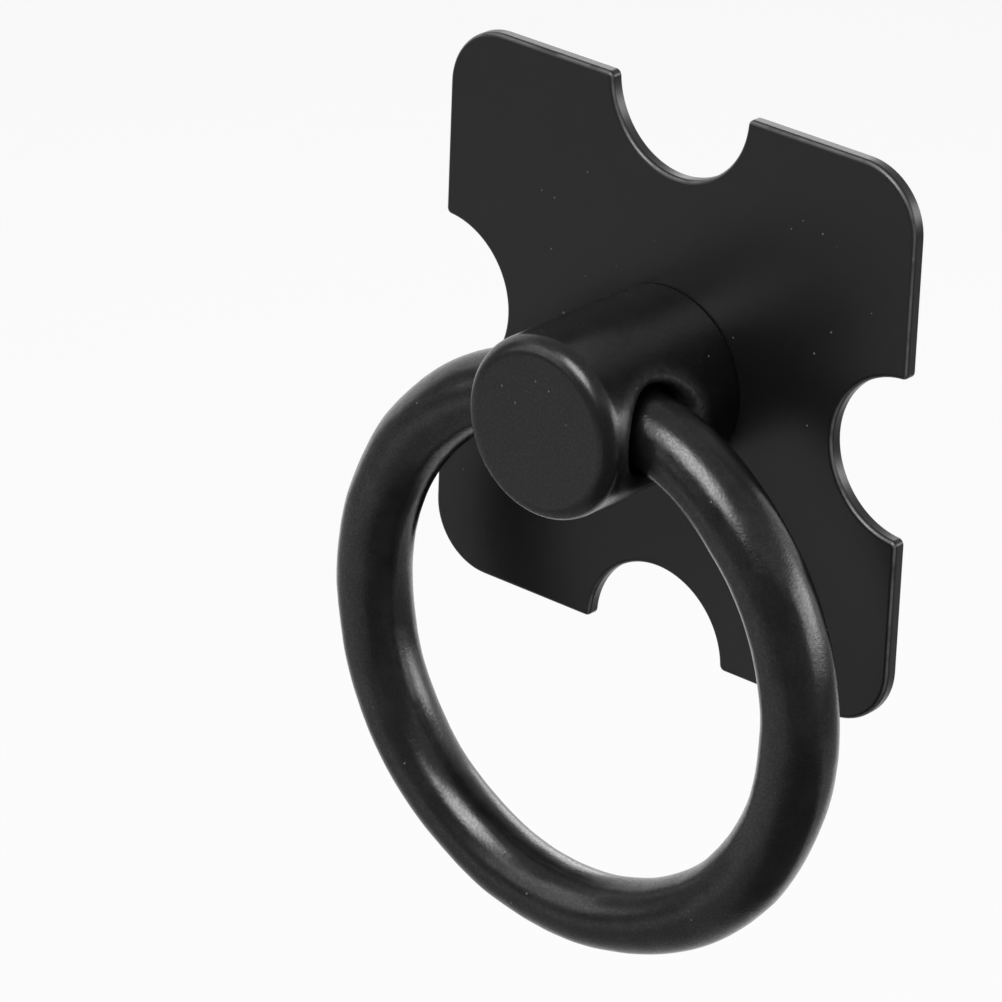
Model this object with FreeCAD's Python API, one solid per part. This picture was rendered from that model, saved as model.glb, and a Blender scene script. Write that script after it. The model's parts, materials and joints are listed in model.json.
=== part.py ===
import FreeCAD, Part
import math
import os

# Ring pull handle for a drawer or a cabinet door.
# A square stamped back plate lies against the drawer face. A round post stands on it,
# and a closed ring of round bar hangs through the cross-drilled eye of the post.
# Millimetres. +X is right, +Y goes into the drawer, +Z is up. The origin is the centre
# of the back plate's rear face, where the fixing screw enters.

# Back plate
PLATE_SIDE = 45.0
PLATE_THICKNESS = 1.1
PLATE_CORNER_RADIUS = 5.1
NOTCH_RADIUS = 6.5
NOTCH_TIP_RADIUS = 0.5
PLATE_EDGE_CHAMFER = 0.3

# Post
POST_RADIUS = 7.2
POST_LENGTH = 14.9
POST_RIM_ROUND = 1.0
SPIGOT_RADIUS = 3.2
SPIGOT_CLEARANCE = 0.1

# Screw hole in the rear of the post, tapped for an M4 screw
SCREW_HOLE_RADIUS = 1.65
SCREW_HOLE_CHAMFER = 0.35
SCREW_HOLE_FLOOR = 0.86
DRILL_POINT_ANGLE = 118.0

# Eye, the cross hole that carries the ring, and the land between its mouths and the rim
EYE_RADIUS = 3.9
EYE_MOUTH_ROUND = 0.9
EYE_LAND = 0.65
EYE_CLEARANCE = 0.2

# Ring, bent a little flatter where it runs through the eye
WIRE_RADIUS = 3.05
RING_RADIUS = 21.2
SHOULDER_RADIUS = 17.5
SHOULDER_ANGLE = 35.0

# Worked out from the sizes above
POST_FRONT = PLATE_THICKNESS + POST_LENGTH
EYE_Y = -(POST_FRONT - POST_RIM_ROUND - EYE_LAND - EYE_MOUTH_ROUND - EYE_RADIUS)
DRILL_POINT = SCREW_HOLE_RADIUS / math.tan(math.radians(DRILL_POINT_ANGLE / 2))
SCREW_HOLE_DEPTH = -EYE_Y - EYE_RADIUS - SCREW_HOLE_FLOOR - DRILL_POINT
SHOULDER_TURN = math.radians(SHOULDER_ANGLE)
STRAIGHT_HALF = (RING_RADIUS - SHOULDER_RADIUS) * math.sin(SHOULDER_TURN)
FLATTENING = (RING_RADIUS - SHOULDER_RADIUS) * (1 - math.cos(SHOULDER_TURN))

ORIGIN = FreeCAD.Vector(0, 0, 0)
FORWARD = FreeCAD.Vector(0, -1, 0)
ACROSS = FreeCAD.Vector(1, 0, 0)
TOUCH = 1e-3


def runs_through_sheet(edge):
    """True for an edge that runs straight from the plate's rear face to its front face."""
    box = edge.BoundBox
    return box.XLength < TOUCH and box.ZLength < TOUCH and box.YLength > PLATE_THICKNESS / 2


def is_notch_tip(edge):
    """True for such an edge where a notch breaks out through a side of the plate."""
    point = edge.CenterOfMass
    return runs_through_sheet(edge) and min(abs(point.x), abs(point.z)) < NOTCH_RADIUS + TOUCH


def lies_at_front(edge):
    """True for an edge in the plane of the plate's front face."""
    box = edge.BoundBox
    return box.YLength < TOUCH and abs(box.YMin + PLATE_THICKNESS) < TOUCH


def square_blank():
    """The plate's blank: a square of sheet with rounded corners."""
    half = PLATE_SIDE / 2
    corner = FreeCAD.Vector(-half, -PLATE_THICKNESS, -half)
    blank = Part.makeBox(PLATE_SIDE, PLATE_THICKNESS, PLATE_SIDE, corner)
    return blank.makeFillet(PLATE_CORNER_RADIUS, [e for e in blank.Edges if runs_through_sheet(e)])


def notch_punch(quarter):
    """A round punch centred on the middle of one side of the plate."""
    turn = quarter * math.pi / 2
    centre = FreeCAD.Vector(math.cos(turn), 0, math.sin(turn)) * (PLATE_SIDE / 2)
    return Part.makeCylinder(NOTCH_RADIUS, PLATE_THICKNESS, centre, FORWARD)


def make_back_plate():
    """The stamped plate: four notches, a broken front edge and a hole for the spigot."""
    plate = square_blank().cut([notch_punch(quarter) for quarter in range(4)])
    plate = plate.makeFillet(NOTCH_TIP_RADIUS, [e for e in plate.Edges if is_notch_tip(e)])
    plate = plate.makeChamfer(PLATE_EDGE_CHAMFER, [e for e in plate.Edges if lies_at_front(e)])
    hole_radius = SPIGOT_RADIUS + SPIGOT_CLEARANCE
    return plate.cut(Part.makeCylinder(hole_radius, PLATE_THICKNESS, ORIGIN, FORWARD))


def post_body():
    """The turned post: spigot in the plate's hole, shoulder on the plate, rounded front rim."""
    rim = POST_RIM_ROUND
    rim_middle = rim * (1 - math.sqrt(0.5))
    shoulder_inner = FreeCAD.Vector(SPIGOT_RADIUS, -PLATE_THICKNESS, 0)
    shoulder_outer = FreeCAD.Vector(POST_RADIUS, -PLATE_THICKNESS, 0)
    side_end = FreeCAD.Vector(POST_RADIUS, rim - POST_FRONT, 0)
    bend = FreeCAD.Vector(POST_RADIUS - rim_middle, rim_middle - POST_FRONT, 0)
    face_edge = FreeCAD.Vector(POST_RADIUS - rim, -POST_FRONT, 0)
    face_centre = FreeCAD.Vector(0, -POST_FRONT, 0)
    outline = [Part.makeLine(ORIGIN, FreeCAD.Vector(SPIGOT_RADIUS, 0, 0)),
               Part.makeLine(FreeCAD.Vector(SPIGOT_RADIUS, 0, 0), shoulder_inner),
               Part.makeLine(shoulder_inner, shoulder_outer),
               Part.makeLine(shoulder_outer, side_end),
               Part.Arc(side_end, bend, face_edge).toShape(),
               Part.makeLine(face_edge, face_centre),
               Part.makeLine(face_centre, ORIGIN)]
    return Part.Face(Part.Wire(outline)).revolve(ORIGIN, FORWARD, 360)


def screw_hole():
    """The blind tapped hole: a countersunk mouth, a straight wall and a drill point."""
    wall = SCREW_HOLE_RADIUS
    bottom = FORWARD * SCREW_HOLE_DEPTH
    straight = Part.makeCylinder(wall, SCREW_HOLE_DEPTH, ORIGIN, FORWARD)
    mouth = Part.makeCone(wall + SCREW_HOLE_CHAMFER, wall, SCREW_HOLE_CHAMFER, ORIGIN, FORWARD)
    tip = Part.makeCone(wall, 0, DRILL_POINT, bottom, FORWARD)
    return straight.fuse([mouth, tip]).removeSplitter()


def is_eye_mouth(edge):
    """True for the saddle-shaped edges where the eye comes out through the post's side."""
    box = edge.BoundBox
    reach = max(abs(box.YMin - EYE_Y), abs(box.YMax - EYE_Y))
    return box.XLength > TOUCH and box.YLength > TOUCH and reach < EYE_RADIUS + TOUCH


def drill_eye(post):
    """Cross-drills the post and rounds both mouths of the eye."""
    start = FreeCAD.Vector(-2 * POST_RADIUS, EYE_Y, 0)
    drilled = post.cut(Part.makeCylinder(EYE_RADIUS, 4 * POST_RADIUS, start, ACROSS))
    return drilled.makeFillet(EYE_MOUTH_ROUND, [e for e in drilled.Edges if is_eye_mouth(e)])


def make_post():
    """The post with its screw hole and its eye."""
    return drill_eye(post_body().cut(screw_hole()))


def straight_height():
    """Height of the ring's straight run, where its bend clears the mouths of the eye."""
    slope = math.asin((POST_RADIUS - STRAIGHT_HALF) / SHOULDER_RADIUS)
    fall = SHOULDER_RADIUS * (1 - math.cos(slope))
    return fall + WIRE_RADIUS / math.cos(slope) + EYE_CLEARANCE - EYE_RADIUS


def bar_section(centre, direction):
    """A round cross-section of the ring's bar."""
    return Part.Face(Part.Wire([Part.Circle(centre, direction, WIRE_RADIUS).toShape()]))


def bent_bar(start, angle, centre, degrees):
    """A stretch of bar bent about a centre, from a start point where it leans by an angle."""
    lean = math.radians(angle)
    direction = FreeCAD.Vector(math.cos(lean), 0, -math.sin(lean))
    return bar_section(start, direction).revolve(centre, FreeCAD.Vector(0, 1, 0), degrees)


def make_ring():
    """The closed ring: a straight run in the eye, a shoulder each side and a round lower part."""
    height = straight_height()
    run_end = FreeCAD.Vector(STRAIGHT_HALF, EYE_Y, height)
    run = Part.makeCylinder(WIRE_RADIUS, 2 * STRAIGHT_HALF,
                            FreeCAD.Vector(-STRAIGHT_HALF, EYE_Y, height), ACROSS)
    shoulder_centre = run_end - FreeCAD.Vector(0, 0, SHOULDER_RADIUS)
    shoulder = bent_bar(run_end, 0, shoulder_centre, SHOULDER_ANGLE)
    ring_centre = FreeCAD.Vector(0, EYE_Y, height + FLATTENING - RING_RADIUS)
    side = FreeCAD.Vector(math.sin(SHOULDER_TURN), 0, math.cos(SHOULDER_TURN))
    round_part = bent_bar(ring_centre + side * RING_RADIUS, SHOULDER_ANGLE, ring_centre,
                          360 - 2 * SHOULDER_ANGLE)
    return run.fuse([shoulder, shoulder.mirror(ORIGIN, ACROSS), round_part]).removeSplitter()


def main():
    os.makedirs("parts", exist_ok=True)
    nodes = {"back_plate": make_back_plate(), "post": make_post(), "ring": make_ring()}
    for name, shape in nodes.items():
        shape.exportStep("parts/" + name + ".step")
        print(name, "solids", len(shape.Solids), "valid", shape.isValid(),
              "volume", round(shape.Volume, 2), "mm3")
    print("ring's straight run is", round(straight_height(), 3), "mm above the eye's axis")


main()
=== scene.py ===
# %% [markdown]
# # A ring pull in satin black
#
# A ring pull is a small handle for a drawer or a cabinet door. A notched plate of sheet metal
# lies on the wood, a round post stands on the plate, and a ring of round bar hangs through an
# eye that runs across the post. All three are powder coated in satin black.
#
# The solids come from a CAD model that is already in its place, in metres: X is right, Y goes
# into the drawer, Z is up, and the origin is the middle of the plate's rear face. This lesson
# adds what the CAD model leaves out: the soft edge of the sheet, the flats of the bent bar, the
# flowing mouths of the eye, the thread of the screw hole, the coat, the light and the camera.

# %% Load the solids
import json
import math

import bpy
from mathutils import Matrix, Vector, noise
from mathutils.geometry import tessellate_polygon


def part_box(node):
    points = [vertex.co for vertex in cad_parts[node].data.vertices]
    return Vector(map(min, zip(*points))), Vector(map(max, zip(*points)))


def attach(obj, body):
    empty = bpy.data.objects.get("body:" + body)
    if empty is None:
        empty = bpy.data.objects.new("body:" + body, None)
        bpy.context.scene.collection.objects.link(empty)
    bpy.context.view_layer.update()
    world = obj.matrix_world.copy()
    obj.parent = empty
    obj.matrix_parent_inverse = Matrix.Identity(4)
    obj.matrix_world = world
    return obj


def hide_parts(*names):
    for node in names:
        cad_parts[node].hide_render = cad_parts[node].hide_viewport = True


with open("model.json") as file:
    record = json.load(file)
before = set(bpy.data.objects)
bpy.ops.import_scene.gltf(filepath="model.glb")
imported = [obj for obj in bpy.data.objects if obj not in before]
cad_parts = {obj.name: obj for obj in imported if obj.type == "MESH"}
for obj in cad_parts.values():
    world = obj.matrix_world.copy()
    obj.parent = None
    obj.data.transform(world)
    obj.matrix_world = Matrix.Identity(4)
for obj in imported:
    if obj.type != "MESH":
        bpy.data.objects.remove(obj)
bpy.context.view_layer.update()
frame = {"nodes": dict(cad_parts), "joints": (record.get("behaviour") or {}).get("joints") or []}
MM = 0.001
SCENE = bpy.context.scene
SCENE.view_settings.view_transform = "Standard"
print("solids:", ", ".join(sorted(frame["nodes"])))

# %% [markdown]
# ## Sizes that come with the solids
#
# What the model already knows could be typed again here, but two copies of a size soon
# disagree. So it is read: the side and the thickness of the plate come from its box, and the
# middle of the eye is where the model's hinge lies.

# %% Read the sizes
PLATE_LOW, PLATE_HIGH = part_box("back_plate")
HALF_SIDE = PLATE_HIGH.x
THICKNESS = PLATE_HIGH.y - PLATE_LOW.y
HINGE = Vector(frame["joints"][0]["pos_m"])
print("plate:", round(2 * HALF_SIDE / MM, 2), "x", round(THICKNESS / MM, 2), "mm")
print("eye's middle:", [round(v / MM, 2) for v in HINGE], "mm")

# %% [markdown]
# ## Arcs that know their outward side
#
# The plate is stamped from sheet, and its outline is only arcs joined by straight lines. Bezier
# curves could draw it, but they don't say which way is outward, which the edge of the sheet
# will need. A short function gives the points of an arc, each with that direction. In a notch
# the metal lies outside the circle, so there the direction is turned round.

# %% Draw an arc
def arc(centre, radius, start, end, steps, facing=1):
    """Points on an arc, each with its outward direction. facing is -1 for a hollow arc."""
    found = []
    for step in range(steps + 1):
        angle = math.radians(start + (end - start) * step / steps)
        away = Vector((math.cos(angle), math.sin(angle)))
        found.append((Vector(centre) + away * radius, away * facing))
    return found


print("a quarter turn in 9 steps has", len(arc((0, 0), 1.0, 0, 90, 9)), "points")

# %% [markdown]
# ## The outline of the plate
#
# The plate is a square with round corners and a round bite out of each side. Where a bite
# breaks out through a side, the metal ends in a small rounded tip. All four sides are alike, so
# one quarter is enough: a corner, a tip, a notch and a second tip. The other three are that
# quarter turned. The radii are not part of the model's record, so they are named here.

# %% Trace the outline
CORNER_RADIUS = 5.1 * MM
NOTCH_RADIUS = 6.5 * MM
TIP_RADIUS = 0.5 * MM
CORNER_STEPS, TIP_STEPS, NOTCH_STEPS = 18, 8, 56


def quarter_outline():
    """The plate's outline from the start of one corner to the start of the next."""
    reach = NOTCH_RADIUS + TIP_RADIUS
    tip_x = math.sqrt(reach ** 2 - TIP_RADIUS ** 2)
    lean = math.degrees(math.asin(TIP_RADIUS / reach))
    inner = HALF_SIDE - CORNER_RADIUS
    tip_z = HALF_SIDE - TIP_RADIUS
    notch = arc((0, HALF_SIDE), NOTCH_RADIUS, -lean, lean - 180, NOTCH_STEPS, facing=-1)
    return (arc((inner, inner), CORNER_RADIUS, 0, 90, CORNER_STEPS)
            + arc((tip_x, tip_z), TIP_RADIUS, 90, 180 - lean, TIP_STEPS)
            + notch[1:-1]
            + arc((-tip_x, tip_z), TIP_RADIUS, lean, 90, TIP_STEPS))


def turned(vector, quarter):
    """A point or direction of the outline, turned by quarters of a circle."""
    return Matrix.Rotation(quarter * math.pi / 2, 2) @ vector


OUTLINE = [(turned(point, quarter), turned(away, quarter))
           for quarter in range(4) for point, away in quarter_outline()]
print("outline:", len(OUTLINE), "points")

# %% [markdown]
# ## The soft edge of the sheet
#
# A stamped sheet has one soft edge, where the punch pulled it down, and one nearly sharp edge
# behind. That soft edge is what catches the light all round the plate. A Bevel modifier on the
# solid's loose triangles would wander, and the edge is only a quarter of a circle, so it is
# written as levels: how deep each one lies, how far it is drawn inward, and how it faces.

# %% Lay out the edge
FRONT_EDGE_ROUND = 0.38 * MM
REAR_EDGE_ROUND = 0.10 * MM
FRONT_STEPS, REAR_STEPS = 9, 3


def edge_levels():
    """Depth, inset, and the normal's outward and rearward parts, from the front to the rear."""
    levels = []
    for step in range(FRONT_STEPS + 1):
        t = math.pi / 2 * step / FRONT_STEPS
        levels.append((-THICKNESS + FRONT_EDGE_ROUND * (1 - math.cos(t)),
                       FRONT_EDGE_ROUND * (1 - math.sin(t)), math.sin(t), -math.cos(t)))
    for step in range(REAR_STEPS + 1):
        t = math.pi / 2 * step / REAR_STEPS
        levels.append((REAR_EDGE_ROUND * (math.sin(t) - 1),
                       REAR_EDGE_ROUND * (1 - math.cos(t)), math.cos(t), math.sin(t)))
    return levels


LEVELS = edge_levels()
print("edge:", len(LEVELS), "levels")

# %% [markdown]
# ## A mesh that brings its own normals
#
# A painted sheet is flat right up to where its edge turns. Blender works out how a smooth
# surface faces from the faces round each point, and beside a tiny round edge that leaves a grey
# smear on the flat. A split by angle would leave facets on the edge instead. But the true
# directions are known here, so they are written into the mesh as custom normals, and the light
# on the edge stays clean.

# %% Write normals into a mesh
def lift(flat, depth):
    """A point or direction of a flat drawing, put at a depth along Y."""
    return Vector((flat.x, depth, flat.y))


def add_piece(name, mesh):
    """An object for a mesh, in the scene and at the origin."""
    piece = bpy.data.objects.new(name, mesh)
    SCENE.collection.objects.link(piece)
    return piece


def mesh_with_normals(name, points, normals, faces):
    """A mesh whose corners carry the given normals. A face may have one of its own."""
    mesh = bpy.data.meshes.new(name)
    mesh.from_pydata(points, [], [ids for ids, own in faces])
    mesh.polygons.foreach_set("use_smooth", [True] * len(mesh.polygons))
    mesh.normals_split_custom_set([own or normals[i] for ids, own in faces for i in ids])
    return mesh


print("a flat point lifted to the front:", lift(Vector((1.0, 2.0)), -THICKNESS / MM))

# %% [markdown]
# ## The plate, one closed skin
#
# The plate is one piece of sheet with a hole for the post's spigot. The solid could be kept and
# only painted, but its chamfer is too plain for a close view. Here the outline is repeated at
# every level of the edge, each row of points is joined to the next, and a short band of wall
# lines the hole. The two flat faces are then cut into triangles between the rim and the hole.

# %% Join rows of points
def band(first, second):
    """Faces between two closed rows of points. None says that their points give the normals."""
    count = len(first)
    pairs = [(i, (i + 1) % count) for i in range(count)]
    return [((first[j], first[i], second[i], second[j]), None) for i, j in pairs]


def flat_face(points, rim, hole, side):
    """Triangles between a rim and a hole, all facing along Y to the given side."""
    ids = [*rim, *hole]
    faces = []
    for triangle in tessellate_polygon([[points[i] for i in rim], [points[i] for i in hole]]):
        corners = [ids[i] for i in triangle]
        p, q, r = (points[i] for i in corners)
        if (q - p).cross(r - p).y * side < 0:
            corners.reverse()
        faces.append((tuple(corners), Vector((0, side, 0))))
    return faces


print("a band between two rows of four points:", len(band(range(4), range(4, 8))), "faces")

# %% [markdown]
# ## Putting the plate together
#
# The rows are numbered in the order in which their points are made: first the levels of the
# edge, then the front and the rear rim of the hole. Faces that meet share their points, so the
# skin has no seam. The finished piece takes the solid's place and rides on the same body.

# %% Build the plate
SPIGOT_HOLE_RADIUS = 3.3 * MM
HOLE_STEPS = 64


def build_plate():
    """Points, normals and faces of the plate."""
    points, normals = [], []
    for depth, inset, outward, rearward in LEVELS:
        points += [lift(point - away * inset, depth) for point, away in OUTLINE]
        normals += [lift(away * outward, rearward) for point, away in OUTLINE]
    rows = [range(start, start + len(OUTLINE)) for start in range(0, len(points), len(OUTLINE))]
    faces = [face for row, below in zip(rows, rows[1:]) for face in band(row, below)]
    front_rim = range(len(points), len(points) + HOLE_STEPS)
    rear_rim = range(front_rim.stop, front_rim.stop + HOLE_STEPS)
    for depth in (-THICKNESS, 0.0):
        hole = arc((0, 0), SPIGOT_HOLE_RADIUS, 0, 360, HOLE_STEPS)[:-1]
        points += [lift(point, depth) for point, away in hole]
        normals += [lift(-away, 0.0) for point, away in hole]
    faces += band(rear_rim, front_rim)
    faces += flat_face(points, rows[0], front_rim, -1) + flat_face(points, rows[-1], rear_rim, 1)
    return points, normals, faces


stamped_plate = add_piece("stamped_plate", mesh_with_normals("stamped_plate", *build_plate()))
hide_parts("back_plate")
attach(stamped_plate, "base")
print("plate:", len(stamped_plate.data.polygons), "faces")

# %% [markdown]
# ## The middle line of the ring
#
# The ring is round bar, bent and closed, and a little flatter where it runs through the eye. Its
# middle line follows a rule: a short straight run, a tighter bend on each side of it, and one
# large arc. A curve with a round bevel would carry the bar along it, but such a bar is perfect.
# So the line is kept as points, each with its outward side, and the bar is built on them.

# %% Follow the ring's middle line
WIRE_RADIUS = 3.05 * MM
RING_RADIUS = 21.2 * MM
SHOULDER_RADIUS = 17.5 * MM
SHOULDER_ANGLE = 35
HALF_RUN = (RING_RADIUS - SHOULDER_RADIUS) * math.sin(math.radians(SHOULDER_ANGLE))
FLATTENING = (RING_RADIUS - SHOULDER_RADIUS) * (1 - math.cos(math.radians(SHOULDER_ANGLE)))
RUN_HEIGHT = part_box("ring")[1].z - WIRE_RADIUS
RUN_STEPS = 5
POINT_SPACING = 0.42 * MM


def bend(centre, radius, start, end):
    """Points on a bend. Angles are from the top, clockwise; each point knows its outward side."""
    steps = max(2, round(math.radians(end - start) * radius / POINT_SPACING))
    found = []
    for step in range(steps):
        angle = math.radians(start + (end - start) * step / steps)
        away = Vector((math.sin(angle), math.cos(angle)))
        found.append((Vector(centre) + away * radius, away))
    return found


def middle_line():
    """The straight run, a shoulder, the round part and the other shoulder."""
    shoulder_z = RUN_HEIGHT - SHOULDER_RADIUS
    ring_z = RUN_HEIGHT + FLATTENING - RING_RADIUS
    run = [(Vector((step / RUN_STEPS * HALF_RUN, RUN_HEIGHT)), Vector((0, 1)))
           for step in range(-RUN_STEPS, RUN_STEPS)]
    return (run + bend((HALF_RUN, shoulder_z), SHOULDER_RADIUS, 0, SHOULDER_ANGLE)
            + bend((0, ring_z), RING_RADIUS, SHOULDER_ANGLE, 360 - SHOULDER_ANGLE)
            + bend((-HALF_RUN, shoulder_z), SHOULDER_RADIUS, 360 - SHOULDER_ANGLE, 360))


LINE = middle_line()
print("middle line:", len(LINE), "points round", round(RING_RADIUS / MM, 1), "mm")

# %% [markdown]
# ## Flats and pits of bent bar
#
# Bar that was bent and tumbled has shallow flats a few millimetres long, with finer pits
# between them, and they are what breaks its highlights into pieces. A bump in the coat could
# tilt the light in the same way, but it would leave the silhouette perfect. So they are cut
# into the section's radius with Blender's own noise, which gives the same bar each time, and
# only inward, so that the ring never grows past its size.

# %% Bend the bar
FLATS_SIZE, FLATS_DEPTH = 4.8 * MM, 0.18 * MM
PITS_SIZE, PITS_DEPTH = 1.3 * MM, 0.035 * MM
PITS_PLACE = Vector((7.0, 3.0, 5.0))
AROUND = 60


def dent(place):
    """How far the bar's skin lies below its full radius."""
    flats = 0.5 + 0.5 * noise.noise(place / FLATS_SIZE)
    pits = 0.5 + 0.5 * noise.noise(place / PITS_SIZE + PITS_PLACE)
    return FLATS_DEPTH * min(max(flats, 0), 1) + PITS_DEPTH * min(max(pits, 0), 1)


def bend_bar():
    """Points and faces of the bar, carried along the middle line."""
    points, faces = [], []
    for middle, away in LINE:
        for k in range(AROUND):
            t = 2 * math.pi * k / AROUND
            out = lift(away, 0) * math.cos(t) + Vector((0, 1, 0)) * math.sin(t)
            skin = lift(middle, HINGE.y) + out * WIRE_RADIUS
            points.append(skin - out * dent(skin))
    for i in range(len(LINE)):
        for k in range(AROUND):
            a, b = i * AROUND, (i + 1) % len(LINE) * AROUND
            n = (k + 1) % AROUND
            faces.append((a + k, b + k, b + n, a + n))
    return points, faces


bar_mesh = bpy.data.meshes.new("bent_ring")
bar_points, bar_faces = bend_bar()
bar_mesh.from_pydata(bar_points, [], bar_faces)
bar_mesh.polygons.foreach_set("use_smooth", [True] * len(bar_mesh.polygons))
bent_ring = add_piece("bent_ring", bar_mesh)
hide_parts("ring")
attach(bent_ring, "ring")
print("ring:", len(bar_mesh.polygons), "faces")

# %% [markdown]
# ## Sums that add nodes
#
# The finish of a real surface is a sum of small things: grain on waves on a colour that is
# never even. In a node tree each plus and times is a Math node, and written one by one they
# bury the idea. So a socket is wrapped in a small class that has Python's own operators, and
# `1 - mask * 0.5` then adds the nodes by itself.

# %% Wrap a socket
class Amount:
    """A number that varies over a surface. Python's operators add Math nodes to its tree."""

    def __init__(self, tree, socket):
        self.tree = tree
        self.socket = socket

    def math(self, operation, *values):
        node = self.tree.nodes.new("ShaderNodeMath")
        node.operation = operation
        for slot, value in zip(node.inputs, values):
            plug(self.tree, slot, value)
        return Amount(self.tree, node.outputs[0])

    def __add__(self, other):
        return self.math("ADD", self, other)

    def __sub__(self, other):
        return self.math("SUBTRACT", self, other)

    def __rsub__(self, other):
        return self.math("SUBTRACT", other, self)

    def __neg__(self):
        return 0 - self

    def __mul__(self, other):
        return self.math("MULTIPLY", self, other)

    def __truediv__(self, other):
        return self.math("DIVIDE", self, other)

    def __gt__(self, other):
        return self.math("GREATER_THAN", self, other)

    def __lt__(self, other):
        return self.math("LESS_THAN", self, other)

    def root(self):
        return self.math("SQRT", self)

    def size(self):
        return self.math("ABSOLUTE", self)

    def at_most(self, other):
        return self.math("MINIMUM", self, other)

    def at_least(self, other):
        return self.math("MAXIMUM", self, other)

    __radd__ = __add__
    __rmul__ = __mul__


def plug(tree, slot, value):
    """Puts a number or colour on a socket, or links another socket to it."""
    if isinstance(value, Amount):
        value = value.socket
    if isinstance(value, bpy.types.NodeSocket):
        tree.links.new(value, slot)
    else:
        slot.default_value = value


print("operators ready: + - * / < >")

# %% [markdown]
# ## One method for every node
#
# Materials, the room and Geometry Nodes are all trees of nodes with settings and sockets. Each
# could be built with its own calls, but one method serves them all: it takes the node's type,
# its settings, and the values or links of its sockets. Settings come first, because some of
# them decide which sockets a node has. Two nodes are used so often that they get a short name
# here: the one that splits a vector, and the one that eases from one value to another.

# %% Add a node
class Nodes:
    """A tree of nodes of any kind, and the one method that adds to it."""

    def __init__(self, tree):
        self.tree = tree

    def add(self, kind, settings=None, sockets=None):
        """Adds a node and returns its outputs."""
        node = self.tree.nodes.new(kind)
        for name, value in (settings or {}).items():
            setattr(node, name, value)
        for name, value in (sockets or {}).items():
            plug(self.tree, node.inputs[name], value)
        return node.outputs

    def node(self, kind, settings=None, sockets=None, output=0):
        """Adds a node and returns one output, ready for sums."""
        return Amount(self.tree, self.add(kind, settings, sockets)[output])

    def split(self, vector):
        """X, Y and Z of a vector."""
        parts = self.add("ShaderNodeSeparateXYZ", sockets={"Vector": vector})
        return [Amount(self.tree, socket) for socket in parts]

    def ease(self, amount, start, end, low=0.0, high=1.0):
        """Eases from low to high while amount goes from start to end."""
        return self.node("ShaderNodeMapRange", {"interpolation_type": "SMOOTHSTEP"}, {
            "Value": amount, "From Min": start, "From Max": end, "To Min": low, "To Max": high})


print("one method adds a node to any tree")

# %% [markdown]
# ## A finish
#
# A finish is one material. Its patterns are measured in the part's own coordinates, so that a
# grain of 0.2 mm is 0.2 mm on every piece, and nothing slides when a piece moves.

# %% Start a finish
MIX_FIRST, MIX_SECOND, MIX_RESULT = 6, 7, 2


class Finish(Nodes):
    """One material, with its surface shader and the patterns that coat and metal need."""

    def __init__(self, name):
        self.material = bpy.data.materials.new(name)
        self.material.use_nodes = True
        super().__init__(self.material.node_tree)
        self.surface = self.tree.nodes["Principled BSDF"]
        self.place = self.node("ShaderNodeTexCoord", output="Object")

    def coordinates(self):
        """X, Y and Z of the place on the part."""
        return self.split(self.place)

    def grain(self, size_mm, detail=2.0, roughness=0.5):
        """Noise whose grains are about size_mm across, from 0 to 1."""
        return self.node("ShaderNodeTexNoise", sockets={
            "Vector": self.place, "Scale": 1 / (size_mm * MM), "Detail": detail,
            "Roughness": roughness}, output="Fac")

    def blend(self, amount, first, second):
        """A colour that goes from first to second as amount goes from 0 to 1."""
        return self.node("ShaderNodeMix", {"data_type": "RGBA"}, {
            "Factor": amount, MIX_FIRST: first, MIX_SECOND: second}, output=MIX_RESULT)

    def bump(self, height_mm):
        """A surface direction that follows a height given in millimetres."""
        return self.node("ShaderNodeBump", sockets={
            "Strength": 1.0, "Distance": MM, "Height": height_mm})

    def paint(self, **sockets):
        """Sets the surface shader's own sockets, by name with _ for a space."""
        for name, value in sockets.items():
            plug(self.tree, self.surface.inputs[name.replace("_", " ")], value)


print("patterns ready: grain, blend, bump")

# %% [markdown]
# ## The satin black coat
#
# Powder coat is a plastic skin about a tenth of a millimetre thick. It flows while it is baked,
# so it is smooth to the touch but never flat: it keeps waves about three millimetres long, and
# over them a fine grain. Its black is a little uneven, and where it was handled it has a paler,
# duller haze. A plain black with one roughness would look like ink. So the coat is built in
# layers: colour, height and roughness stay open until every layer is on, and then they go to
# the shader. Heights are a few hundredths of a millimetre, because more looks like cloth.

# %% Mix the coat
BLACK = (0.0042, 0.0042, 0.0043, 1.0)
BLACK_WORN = (0.0074, 0.0074, 0.0075, 1.0)
BLACK_HAZE = (0.0170, 0.0170, 0.0170, 1.0)
PLAIN_IOR = 1.5


class Coat(Finish):
    """Satin black in layers: a colour, a height in mm and a roughness that later layers change."""

    def __init__(self, name, sheen, waves, grain, haze=0.0):
        super().__init__(name)
        self.paint(IOR=PLAIN_IOR)
        mottle = self.grain(2.2, detail=3.0)
        clouds = self.ease(self.grain(3.4, detail=6.0, roughness=0.68), 0.42, 0.66) * haze
        uneven = self.blend(mottle * (0.3 + haze), BLACK, BLACK_WORN)
        self.colour = self.blend(clouds, uneven, BLACK_HAZE)
        self.height = self.grain(3.0) * waves + self.grain(0.19, detail=3.0, roughness=0.6) * grain
        self.roughness = sheen + (mottle - 0.5) * (0.02 + 0.12 * haze) + clouds * 0.10

    def close(self):
        """Gives the layers to the surface shader."""
        self.paint(Base_Color=self.colour, Roughness=self.roughness,
                   Normal=self.bump(self.height))


plate_coat = Coat("coat_on_plate", sheen=0.33, waves=0.006, grain=0.004)
post_coat = Coat("coat_on_post", sheen=0.26, waves=0.020, grain=0.010, haze=0.15)
ring_coat = Coat("coat_on_ring", sheen=0.18, waves=0.020, grain=0.020, haze=0.45)
COATS = [plate_coat, post_coat, ring_coat]
print("coats:", ", ".join(coat.material.name for coat in COATS))

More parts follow.
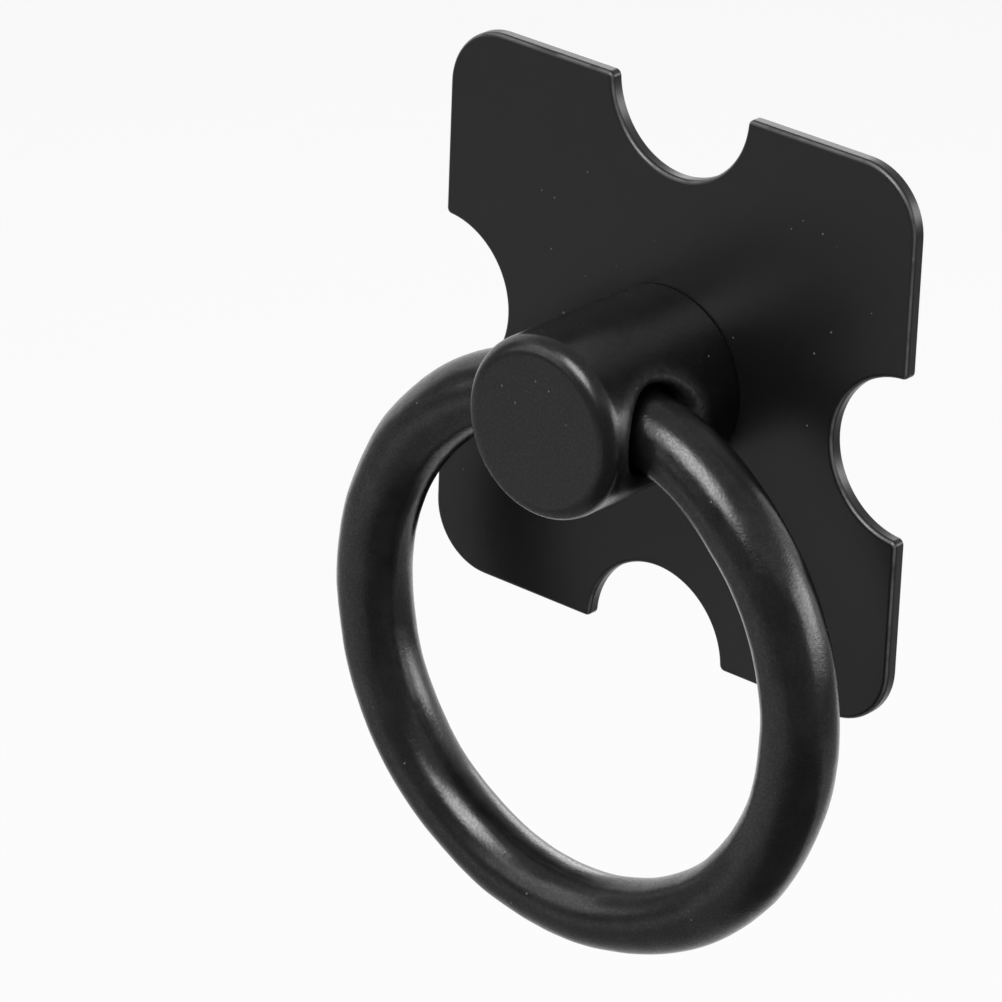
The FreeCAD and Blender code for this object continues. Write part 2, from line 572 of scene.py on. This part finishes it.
# %% [markdown]
# ## The rough skin round the eye, and painted light in its mouths
#
# The mouths of the eye are broken by hand before coating, and the metal there keeps a rough
# skin that shows through as a dull rim. Its paler grey is partly that skin and partly painted
# light, which lifts the shade inside the mouths. The rim could be painted on by hand, but a mask
# of distances follows the eye by itself: the axis of the eye runs along X, so the distance from
# it is the root of the squares of the other two coordinates.

# %% Roughen the mouths of the eye and paint light into them
# Paler grey of the rough skin, which also paints light into the shade of the mouths.
SKIN_AND_PAINTED_LIGHT = (0.019, 0.019, 0.019, 1.0)
SKIN_FULL, SKIN_GONE = 4.2 * MM, 5.6 * MM
SIDE_START, SIDE_END = 4.5 * MM, 5.6 * MM


def roughen_mouths_and_paint_light(coat):
    """A duller skin near the mouths of the eye, painted paler: rough coat, and painted light in
    their shade.
    """
    across, depth, up = coat.coordinates()
    along = depth - HINGE.y
    distance = (along * along + up * up).root()
    near_eye = coat.ease(distance, SKIN_FULL, SKIN_GONE, low=1.0, high=0.0)
    skin = near_eye * coat.ease(across.size(), SIDE_START, SIDE_END)
    patchy = skin * coat.ease(coat.grain(0.5, detail=3.0), 0.3, 0.7)
    # Painted light: the paler grey lifts the shade inside the mouths, on top of the rough skin.
    coat.colour = coat.blend(patchy, coat.colour, SKIN_AND_PAINTED_LIGHT)
    coat.height = coat.height + coat.grain(0.45, detail=3.0, roughness=0.65) * skin * 0.06
    coat.roughness = coat.roughness + skin * 0.24


roughen_mouths_and_paint_light(post_coat)
print("rough skin out to", round(SKIN_GONE / MM, 1), "mm from the eye's axis")

# %% [markdown]
# ## A painted highlight on the plate's edge
#
# The turn of the sheet catches a thin line of light all round the plate. Here that line is
# painted as a paler grey: a painted highlight, which also stands for coat that draws back from an
# edge while it is baked and is rubbed by hands later, broken up along its run. An edge mask from
# the shape would find every edge, the rear one too. The depth alone is enough: the grey lies on a
# band two tenths of a millimetre wide, just behind the plate's front face.

# %% Paint a highlight on the plate's edge
# Paler grey of the painted edge highlight, which also stands for rubbed coat.
EDGE_HIGHLIGHT_AND_WEAR = (0.11, 0.11, 0.11, 1.0)
EDGE_DEPTH = 0.13 * MM
EDGE_FULL, EDGE_GONE = 0.02 * MM, 0.11 * MM


def paint_edge_highlight_and_wear(coat):
    """A greyer line where the front edge of the sheet turns: a painted highlight, and rubbed coat.
    """
    depth = coat.coordinates()[1]
    from_turn = (depth + THICKNESS - EDGE_DEPTH).size()
    on_turn = coat.ease(from_turn, EDGE_FULL, EDGE_GONE, low=1.0, high=0.0)
    broken = coat.ease(coat.grain(2.6, detail=5.0, roughness=0.7), 0.34, 0.60, low=0.25)
    # Painted highlight: the paler grey on the edge's turn stands in for the light it catches.
    coat.colour = coat.blend(on_turn * broken, coat.colour, EDGE_HIGHLIGHT_AND_WEAR)


# The painted highlight and rubbed coat on the plate's front edge.
paint_edge_highlight_and_wear(plate_coat)
print("rubbed line", round(EDGE_DEPTH / MM, 2), "mm behind the plate's face")

# %% [markdown]
# ## A few specks of dust
#
# However clean a black thing is, a few pale specks sit on it. They could be tiny meshes, but a
# pattern is lighter: in a Voronoi pattern each cell has a middle and a random colour, so the
# places very near a middle are specks, and the random colour says which of them are kept.

# %% Scatter the dust
DUST = (0.13, 0.13, 0.12, 1.0)
CELL_MM, SPECK_MM, SHARE_KEPT = 1.6, 0.16, 0.5


def scatter_dust(coat):
    """Pale, dull specks, each in a cell of its own."""
    sockets = {"Vector": coat.place, "Scale": 1 / (CELL_MM * MM)}
    distance = coat.node("ShaderNodeTexVoronoi", sockets=sockets, output="Distance")
    cell = coat.node("ShaderNodeTexVoronoi", sockets=sockets, output="Color")
    chance = coat.node("ShaderNodeSeparateColor", sockets={"Color": cell})
    dust = (distance < SPECK_MM / CELL_MM / 2) * (chance > 1 - SHARE_KEPT)
    coat.colour = coat.blend(dust, coat.colour, DUST)
    coat.roughness = coat.roughness + dust * 0.3


for coat in COATS:
    scatter_dust(coat)
print("specks", SPECK_MM, "mm across, in", SHARE_KEPT, "of the cells")

# %% [markdown]
# ## Sparkle in the highlights
#
# Close up, the highlight on the ring is made of tiny bright points, because the skin of the
# powder is glossier in some places than in others. A stronger bump would scatter the light too,
# but it also ruffles the shape of the highlight. A clear coat that comes and goes with a fine
# grain adds the points and leaves the shape alone. The plate has none, as it is rolled smooth.

# %% Add the sparkle
CLEAR_ROUGHNESS = 0.22
IOR_DROP = 0.09


def add_sparkle(coat, amount):
    """A patchy clear layer. The layer below reflects a little less for it."""
    patches = coat.ease(coat.grain(0.20, detail=2.0, roughness=0.6), 0.40, 0.70, high=amount)
    coat.paint(Coat_Weight=patches, Coat_Roughness=CLEAR_ROUGHNESS,
               IOR=PLAIN_IOR - IOR_DROP * amount)


add_sparkle(post_coat, 0.30)
add_sparkle(ring_coat, 0.42)
print("sparkle on:", post_coat.material.name, "and", ring_coat.material.name)

# %% [markdown]
# ## Bare metal in the screw hole
#
# The hole is tapped after coating, so its wall is bare metal. A second material would need its
# own faces, and the post is one skin. So the post's coat itself changes to metal inside a small
# cylinder round the hole: the mask is again a distance from an axis, and a limit in depth.

# %% Bare the screw hole
BARE_METAL = (0.46, 0.45, 0.43, 1.0)
SCREW_HOLE_RADIUS = 1.65 * MM
BARE_MARGIN = 0.3 * MM
BARE_END = -5.0 * MM


def bare_the_hole(coat):
    """Turns the coat to cut metal inside the screw hole."""
    across, depth, up = coat.coordinates()
    distance = (across * across + up * up).root()
    bare = (distance < SCREW_HOLE_RADIUS + BARE_MARGIN) * (depth > BARE_END)
    coat.colour = coat.blend(bare, coat.colour, BARE_METAL)
    coat.roughness = coat.roughness + bare * 0.08
    coat.paint(Metallic=bare)


bare_the_hole(post_coat)
for coat in COATS:
    coat.close()
stamped_plate.data.materials.append(plate_coat.material)
bent_ring.data.materials.append(ring_coat.material)
print("coats closed, with", [len(coat.tree.nodes) for coat in COATS], "nodes")

# %% [markdown]
# ## A recipe of Geometry Nodes
#
# Geometry Nodes suit pieces that follow a rule. A recipe is one tree: its sizes are named
# inputs of the modifier, it ends by making everything real and giving it a material, and the
# result is taken off the modifier as a plain mesh, so that nothing live is left in the scene.
# The tree could be laid out by hand in the node editor, but in a script it can be read, and a
# size is changed in one place.

# %% Start a recipe of Geometry Nodes
class Recipe(Nodes):
    """A Geometry Nodes tree with named number inputs."""

    def __init__(self, name, **sizes):
        super().__init__(bpy.data.node_groups.new(name, "GeometryNodeTree"))
        self.sizes = sizes
        sockets = self.tree.interface
        sockets.new_socket("Mesh", in_out="OUTPUT", socket_type="NodeSocketGeometry")
        for label in sizes:
            sockets.new_socket(label, in_out="INPUT", socket_type="NodeSocketFloat")
        self.inputs = self.add("NodeGroupInput")

    def size(self, label):
        return Amount(self.tree, self.inputs[label])

    def finish(self, shape, material):
        """Ends the tree: the shape is made real and gets its material."""
        real = self.node("GeometryNodeRealizeInstances", sockets={"Geometry": shape})
        coated = self.node("GeometryNodeSetMaterial", sockets={
            "Geometry": real, "Material": material})
        self.add("NodeGroupOutput", sockets={"Mesh": coated})

    def make(self, name):
        """Runs the tree and returns the piece as a plain mesh."""
        host = add_piece("host", bpy.data.meshes.new("host"))
        modifier = host.modifiers.new("recipe", "NODES")
        modifier.node_group = self.tree
        for item in self.tree.interface.items_tree:
            if item.in_out == "INPUT":
                modifier[item.identifier] = self.sizes[item.name]
        ready = host.evaluated_get(bpy.context.evaluated_depsgraph_get())
        mesh = bpy.data.meshes.new_from_object(ready)
        host.modifiers.remove(modifier)
        bpy.data.objects.remove(host)
        return add_piece(name, mesh)


print("a recipe takes named sizes and gives a plain mesh")

# %% [markdown]
# ## The post, as a shape made of distances
#
# The post is cast or turned and then tumbled, so nothing on it is sharp, and the mouths of the
# eye flow into its side like a funnel. Bevels can't follow the saddle where two round forms
# cross. A rule can: at every point of space, a number says how far the point is outside the
# post. A cylinder, a plane and the eye are one such number each. The larger of two numbers is
# what both solids share, the smaller is both together, and a minus turns a solid into a hole.
# Where two of them meet, the longer way round the corner rounds it.

# %% Write the post's rule
POST_LOW, POST_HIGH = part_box("post")
POST_RADIUS = (POST_HIGH.x - POST_LOW.x) / 2


def rounded_meet(first, second, radius):
    """Inside both: distances outside two solids, their common edge rounded by radius."""
    u, v = (first + radius).at_least(0.0), (second + radius).at_least(0.0)
    return first.at_least(second).at_most(-radius) + (u * u + v * v).root()


def post_with_spigot(recipe, radial, forward):
    """A round body with a soft front rim, and the spigot that fills the plate's hole."""
    side = radial - recipe.size("post_radius")
    front = forward - recipe.size("post_front")
    body = rounded_meet(side, front, recipe.size("rim_round")).at_least(THICKNESS - forward)
    spigot = (radial - recipe.size("spigot_radius")).at_least(-forward)
    return body.at_most(spigot.at_least(forward - 2 * THICKNESS))


print("post:", round(POST_RADIUS / MM, 2), "mm in radius,", round(-POST_LOW.y / MM, 2), "mm long")

# %% [markdown]
# ## The hole from behind
#
# The screw hole is drilled, countersunk and tapped. The drill's point leaves a cone of 118
# degrees and the countersink one of 90. A cone is a distance as well, and it could be worked
# out with the sine and cosine of its angle in nodes. Both angles are fixed, so their slopes are
# plain numbers: how much the cone rises for each millimetre outward, and what turns a height
# above the slope into a distance from it.

# %% Write the screw hole's rule
COUNTERSINK = 0.35 * MM
POINT_SLOPE, POINT_SHARE = 0.60, 0.86
MOUTH_SHARE = 0.71


def screw_hole(recipe, radial, forward):
    """The tapped hole, with its countersink and the point that the drill left."""
    wall = radial - recipe.size("screw_radius")
    tip = (forward - recipe.size("screw_depth") + wall * POINT_SLOPE) * POINT_SHARE
    mouth = (wall - COUNTERSINK + forward) * MOUTH_SHARE
    return wall.at_least(tip).at_most(mouth)


print("countersink:", round((SCREW_HOLE_RADIUS + COUNTERSINK) / MM, 2), "mm in radius")

# %% [markdown]
# ## The mouths of the eye
#
# The ring is pulled against the front of the eye, and there its mouths open wider than behind.
# One rounding for the whole mouth would look machined. So the radius of the lip eases
# from one size in front to another behind, and close to the lip a slow noise moves the skin by
# some hundredths of a millimetre, as a hand-held tool does.

# %% Shape the mouths of the eye
LIP_FRONT_ENDS, LIP_REAR_STARTS = -2.0 * MM, 3.0 * MM
UNEVEN_SIZE = 1.1 * MM
UNEVEN_REACH = 2.6 * MM


def cut_eye(recipe, solid, behind, up):
    """Takes the eye out of a solid. behind is how far a point lies behind the eye's axis."""
    from_eye = (behind * behind + up * up).root() - recipe.size("eye_radius")
    rearward = recipe.ease(behind, LIP_FRONT_ENDS, LIP_REAR_STARTS)
    lip = recipe.size("front_lip") + rearward * (recipe.size("rear_lip") - recipe.size("front_lip"))
    drilled = rounded_meet(solid, -from_eye, lip)
    bumps = recipe.node("ShaderNodeTexNoise", sockets={"Scale": 1 / UNEVEN_SIZE, "Detail": 3.0})
    near_lip = (1 - from_eye.size() * (1 / UNEVEN_REACH)).at_least(0.0)
    return drilled + (bumps - 0.5) * near_lip * recipe.size("uneven")


print("lips change over", round((LIP_REAR_STARTS - LIP_FRONT_ENDS) / MM, 1), "mm of depth")

# %% [markdown]
# ## From the rule to a skin
#
# A rule of distances has no faces yet. Volume Cube samples it on a fine grid, with a density
# that passes one half where the distance is zero, and Volume to Mesh draws the skin there. The
# smaller the samples, the truer the skin and the more faces: 0.13 mm keeps the post under
# 200,000 triangles. The skin is closed by itself, because the grid reaches past the post.

# %% Cast the post
VOXEL = 0.13 * MM
GRID_MARGIN = Vector((4 * VOXEL,) * 3)
GRID_FRONT = -16.0 * MM
SKIN_BAND = 0.25 * MM


def skin_of(recipe, solid, low, high):
    """The smooth skin of a rule of distances, sampled between two corners."""
    density = (0.5 - solid * (0.5 / SKIN_BAND)).at_least(0.0).at_most(1.0)
    counts = [round(side / VOXEL) + 1 for side in high - low]
    print("samples:", counts)
    volume = recipe.node("GeometryNodeVolumeCube", sockets={
        "Density": density, "Min": low, "Max": high, "Resolution X": counts[0],
        "Resolution Y": counts[1], "Resolution Z": counts[2]})
    skin = recipe.node("GeometryNodeVolumeToMesh", {"resolution_mode": "GRID"}, {
        "Volume": volume, "Threshold": 0.5})
    return recipe.node("GeometryNodeSetShadeSmooth", sockets={
        "Geometry": skin, "Shade Smooth": True})


cast = Recipe("cast_post", post_radius=POST_RADIUS, post_front=-POST_LOW.y,
              rim_round=1.35 * MM, spigot_radius=3.2 * MM, eye_radius=3.5 * MM,
              front_lip=1.3 * MM, rear_lip=0.8 * MM, uneven=0.10 * MM,
              screw_radius=SCREW_HOLE_RADIUS, screw_depth=3.8 * MM)
x, y, z = cast.split(cast.node("GeometryNodeInputPosition"))
radial, forward = (x * x + z * z).root(), -y
with_eye = cut_eye(cast, post_with_spigot(cast, radial, forward), y - HINGE.y, z)
solid = with_eye.at_least(-screw_hole(cast, radial, forward))
grid_low = Vector((-POST_RADIUS, GRID_FRONT, -POST_RADIUS)) - GRID_MARGIN
grid_high = Vector((POST_RADIUS, 0.0, POST_RADIUS)) + GRID_MARGIN
cast.finish(skin_of(cast, solid, grid_low, grid_high), post_coat.material)
cast_post = cast.make("cast_post")
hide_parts("post")
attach(cast_post, "base")
print("post:", len(cast_post.data.polygons), "faces")

# %% [markdown]
# ## The thread of the screw hole
#
# A thread is one profile carried along a helix. A bump with slanted stripes could suggest it,
# but from behind one looks straight into the hole, so it is real: a spiral curve is the path, a
# three-sided circle is the ridge, and Curve to Mesh joins them. An M4 thread has a pitch of 0.7
# mm. The ridge is drawn standing on Z and then turned to run into the post.

# %% Cut the thread
CUT_METAL_DARK = (0.30, 0.29, 0.28, 1.0)
cut_metal = Finish("cut_metal")
cut_metal.paint(Base_Color=cut_metal.blend(cut_metal.grain(0.3), BARE_METAL, CUT_METAL_DARK),
                Roughness=0.26 + cut_metal.grain(0.2) * 0.2, Metallic=1.0)
thread = Recipe("thread", pitch=0.7 * MM, start_depth=0.5 * MM, length=3.0 * MM,
                path_radius=1.69 * MM, ridge=0.26 * MM)
helix = thread.node("GeometryNodeCurveSpiral", sockets={
    "Resolution": 40, "Rotations": thread.size("length") / thread.size("pitch"),
    "Start Radius": thread.size("path_radius"), "End Radius": thread.size("path_radius"),
    "Height": thread.size("length")})
steady = thread.node("GeometryNodeSetCurveNormal", {"mode": "Z_UP"}, {"Curve": helix})
ridge = thread.node("GeometryNodeCurvePrimitiveCircle", sockets={
    "Resolution": 3, "Radius": thread.size("ridge")})
swept = thread.node("GeometryNodeCurveToMesh", sockets={
    "Curve": steady, "Profile Curve": ridge, "Fill Caps": True})
start = thread.node("ShaderNodeCombineXYZ", sockets={"Y": -thread.size("start_depth")})
placed = thread.node("GeometryNodeTransform", sockets={
    "Geometry": swept, "Translation": start, "Rotation": (math.radians(90), 0, 0)})
thread.finish(placed, cut_metal.material)
screw_thread = thread.make("screw_thread")
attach(screw_thread, "base")
print("thread:", len(screw_thread.data.polygons), "faces")

# %% [markdown]
# ## Directions round the part
#
# The camera, the lamps and the cards all stand round the part and look at it. They could be
# placed by X, Y and Z, but a photographer thinks in angles: how far round, and how high. One
# function turns such a pair of angles into a direction, and everything in the studio uses it.

# %% Name a direction
def direction(azimuth, elevation):
    """A direction from the part: azimuth 0 is in front, 90 to the right."""
    a, e = math.radians(azimuth), math.radians(elevation)
    return Vector((math.sin(a) * math.cos(e), -math.cos(a) * math.cos(e), math.sin(e)))


print("straight in front:", [round(v, 1) for v in direction(0, 0)])

# %% [markdown]
# ## The camera
#
# The picture is taken from the front right and a little above with a long lens, so near and far
# edges stay almost parallel. A Track To constraint would centre the part and keep the camera
# level. Here the camera rolls a little and the part stands off centre, so its three axes are
# worked out, and it is moved sideways until the origin falls on its own point of the frame.

# %% Place the camera
AZIMUTH, ELEVATION, ROLL = 40.431, 24.687, 2.187
DISTANCE = 512.763 * MM
FOCAL_PX, FRAME_PX = 6802.83, 1002
ORIGIN_PX = (675.18, 370.86)
SENSOR_WIDTH = 36.0


def camera_axes(azimuth, elevation, roll):
    """The camera's right, up and backward directions."""
    back = direction(azimuth, elevation)
    right = Vector((0, 0, 1)).cross(back).normalized()
    up = back.cross(right)
    r = math.radians(roll)
    return math.cos(r) * right + math.sin(r) * up, math.cos(r) * up - math.sin(r) * right, back


RIGHT, UP, BACK = camera_axes(AZIMUTH, ELEVATION, ROLL)
shift_right = (ORIGIN_PX[0] - FRAME_PX / 2) / FOCAL_PX * DISTANCE
shift_up = (FRAME_PX / 2 - ORIGIN_PX[1]) / FOCAL_PX * DISTANCE
EYE_POINT = BACK * DISTANCE - RIGHT * shift_right - UP * shift_up
camera = bpy.data.objects.new("camera", bpy.data.cameras.new("camera"))
SCENE.collection.objects.link(camera)
turn = Matrix((RIGHT, UP, BACK)).transposed().to_4x4()
camera.matrix_world = Matrix.Translation(EYE_POINT) @ turn
camera.data.sensor_width = SENSOR_WIDTH
camera.data.lens = FOCAL_PX / FRAME_PX * SENSOR_WIDTH
camera.data.clip_start, camera.data.clip_end = 0.01, 20.0
SCENE.camera = camera
print("camera at", [round(v, 4) for v in EYE_POINT], "lens", round(camera.data.lens, 1), "mm")

# %% [markdown]
# ## The floor
#
# The handle is photographed over white paper. A floor that is lit until it turns white would
# also flood the part with light. So rays that look at the paper, from the camera or in a
# reflection, meet a glow that is mixed into its surface, and light that falls on the part does
# not pass through that mix. The mix is not complete, so the paper keeps the part's shadow.

# %% Lay the floor
FLOOR_Z = -0.30
FLOOR_HALF = 4.0
WHITE_PAPER = (0.80, 0.80, 0.80, 1.0)
WHITE = (1.0, 1.0, 1.0, 1.0)
GLOW_SHARE = 0.9


def seen_rays(nodes):
    """1 for rays that look at a surface: from the camera, a reflection or through glass."""
    path = nodes.add("ShaderNodeLightPath")
    camera_ray, glossy, clear = (Amount(nodes.tree, path[name]) for name in (
        "Is Camera Ray", "Is Glossy Ray", "Is Transmission Ray"))
    return (camera_ray + glossy + clear).at_most(1.0)


def rectangle(left, right, front, rear, height):
    """Corners of a level sheet, facing up."""
    return [(x, y, height) for x, y in (
        (left, front), (right, front), (right, rear), (left, rear))]


def stage_sheet(name, corners, faces, finish):
    """A sheet of the studio, which is not part of the handle."""
    mesh = bpy.data.meshes.new(name)
    mesh.from_pydata(corners, [], faces)
    mesh.materials.append(finish.material)
    piece = add_piece(name, mesh)
    return piece


paper = Finish("white_paper")
paper.paint(Base_Color=WHITE_PAPER, Roughness=0.9)
glow = paper.node("ShaderNodeEmission", sockets={"Color": WHITE, "Strength": 1.0})
mixed = paper.node("ShaderNodeMixShader", sockets={
    0: seen_rays(paper) * GLOW_SHARE, 1: paper.surface.outputs[0], 2: glow})
plug(paper.tree, paper.tree.nodes["Material Output"].inputs["Surface"], mixed)
stage_sheet("paper_floor", rectangle(-FLOOR_HALF, FLOOR_HALF, -FLOOR_HALF, FLOOR_HALF, FLOOR_Z),
            [(0, 1, 2, 3)], paper)
print("floor:", 2 * FLOOR_HALF, "m square at", FLOOR_Z, "m")

# %% [markdown]
# ## Cards for the reflections
#
# A black satin part shows its shape by what it reflects. In an all-white room it would be grey
# all over, so a photographer sets dark cards round it, just outside the picture. These cards do
# the same, and more freely: only reflections meet them, the camera looks past them, and they
# throw no shadow, so the floor and the room stay white from every side.

# %% Cut a card
def card(name, corners, tone, faces=((0, 1, 2, 3),)):
    """A card that only reflections meet. Its tone is its grey, from 0 to 1."""
    paint = Finish(name + "_paint")
    paint.paint(Base_Color=(tone, tone, tone, 1.0), Roughness=1.0)
    piece = stage_sheet(name, corners, faces, paint)
    piece.visible_camera = False
    piece.visible_shadow = False
    return paint


def upright(azimuth, distance, width, low, high):
    """Corners of an upright card that faces the part."""
    away = direction(azimuth, 0)
    aside = Vector((-away.y, away.x, 0)) * width / 2
    return [away * distance + aside * side + Vector((0, 0, z))
            for side, z in ((-1, low), (1, low), (1, high), (-1, high))]


def bow(start, end, step, distance, low, high):
    """Corners and faces of a screen that is bent round the part."""
    places = [direction(azimuth, 0) * distance for azimuth in range(start, end, step)]
    corners = [place + Vector((0, 0, z)) for z in (low, high) for place in places]
    count = len(places)
    return corners, [(i, i + 1, i + 1 + count, i + count) for i in range(count - 1)]


print("a card half a metre wide:", [round(v, 2) for v in upright(0, 1.0, 0.5, 0.0, 0.5)[0]])

# %% [markdown]
# ## Where the cards stand
#
# Each card dims one stretch of the coat. The camera's own card is mirrored wherever the coat
# faces the camera, the screen bent round the front in the sides of the bar and of the post, and
# the sheet on the floor in front in the flat faces. The low card and the right card dim the
# undersides on the right. A dark place in a photograph of such a part says which way its card
# lies: a ray from the camera is followed to that place and on, as from a mirror.

# %% Set the cards
OVER_FLOOR = 0.01
camera_card = upright(azimuth=38, distance=0.46, width=0.50, low=-0.24, high=0.26)
card("camera_card", camera_card, tone=0.30)
low_card = [(x, y, FLOOR_Z + 2 * OVER_FLOOR) for x, y in (
    (-0.01, -0.40), (0.60, -0.40), (0.60, 0.16), (0.06, 0.16))]
card("low_card", low_card, tone=0.10)
card("right_card", rectangle(0.10, 2.5, 0.20, 2.5, FLOOR_Z + OVER_FLOOR), tone=0.50)
sheet = card("front_sheet", rectangle(-2.5, 2.5, -2.5, 0.20, FLOOR_Z + OVER_FLOOR), tone=0.10)
screen, screen_faces = bow(-84, 93, 8, distance=0.95, low=-0.28, high=0.46)
card("front_screen", screen, tone=0.42, faces=screen_faces)

# %% [markdown]
# ## A card that fades
#
# The sheet on the floor in front of the part is not one grey. It is dark below the camera and
# pale to the left, where the left side of the plate looks, and it turns white towards the part,
# so that no hard line shows in the ring. Two cards would leave such a line, so one card
# changes its colour with its place.

# %% Grade the front sheet
GREY_PAPER = (0.30, 0.30, 0.30, 1.0)
LEFT_SIDE = direction(-40, 0)
DIM_END, WHITE_START = -0.10, 0.20
LEFT_START, LEFT_END, LEFT_LIT = 0.26, 0.60, 0.7
across, depth, up = sheet.coordinates()
dim = sheet.ease(depth, DIM_END, WHITE_START, low=1.0, high=0.0)
leftward = across * LEFT_SIDE.x + depth * LEFT_SIDE.y
lit = 1 - dim * (1 - sheet.ease(leftward, LEFT_START, LEFT_END, high=LEFT_LIT))
sheet.paint(Base_Color=sheet.blend(lit, GREY_PAPER, WHITE_PAPER))
print("front sheet: white from", WHITE_START, "m, dim before", DIM_END, "m")

# %% [markdown]
# ## The room
#
# The room is a white sky all round, which gives the pale background from every side. Its
# ceiling is dimmer, because the top of the ring and of the post mirror it, and there the coat
# is dark. The light that the room throws on the part is set apart from what is seen of it, so
# the background stays white while the lamps do the lighting.

# %% Paint the room
ROOM_LIGHT = 0.28
CEILING_START, CEILING_END, CEILING_LEVEL = 0.38, 0.72, 0.45
world = bpy.data.worlds.new("studio_room")
SCENE.world = world
world.use_nodes = True
room = Nodes(world.node_tree)
height = room.split(room.node("ShaderNodeTexCoord", output="Generated"))[2]
wall_light = room.ease(height, CEILING_START, CEILING_END, low=1.0, high=CEILING_LEVEL)
seen = seen_rays(room)
background = room.tree.nodes["Background"].inputs
plug(room.tree, background["Strength"], seen * wall_light + (1 - seen) * ROOM_LIGHT)
plug(room.tree, background["Color"], WHITE)
print("room: white all round,", CEILING_LEVEL, "above")

# %% [markdown]
# ## Soft boxes
#
# Five large lamps draw the highlights. A point lamp would leave hard dots on satin, and a large
# rectangle draws the long soft streaks that a curved bar should have. The key stands in front
# and above and draws the streaks on the ring and the line on the post's rim. A weak fill lifts
# the dark on the left. Two lamps stand to the right and a little behind, the small one inside
# the large one's outline, and draw the lines on the right flanks. The last stands behind on the
# left, for the edges there. The camera doesn't see them, so no lamp stands in the picture.

# %% Hang the lamps
LAMP_DISTANCE = 0.8


def soft_box(name, azimuth, elevation, width, height, radiance):
    """A rectangular lamp facing the part. Radiance 1 is as bright as white paper."""
    away = direction(azimuth, elevation)
    data = bpy.data.lights.new(name, "AREA")
    data.shape = "RECTANGLE"
    data.size, data.size_y = width, height
    data.energy = radiance * math.pi * width * height
    lamp = bpy.data.objects.new(name, data)
    facing = away.to_track_quat("Z", "Y").to_matrix().to_4x4()
    lamp.matrix_world = Matrix.Translation(away * LAMP_DISTANCE) @ facing
    lamp.visible_camera = False
    SCENE.collection.objects.link(lamp)


soft_box("key", azimuth=6, elevation=45, width=0.40, height=0.44, radiance=10.0)
soft_box("left_fill", azimuth=-38, elevation=20, width=0.46, height=0.56, radiance=1.4)
soft_box("right_side", azimuth=122, elevation=14, width=0.74, height=0.26, radiance=3.8)
soft_box("right_core", azimuth=129, elevation=12, width=0.22, height=0.24, radiance=2.2)
soft_box("left_behind", azimuth=-155, elevation=16, width=0.50, height=0.40, radiance=2.6)
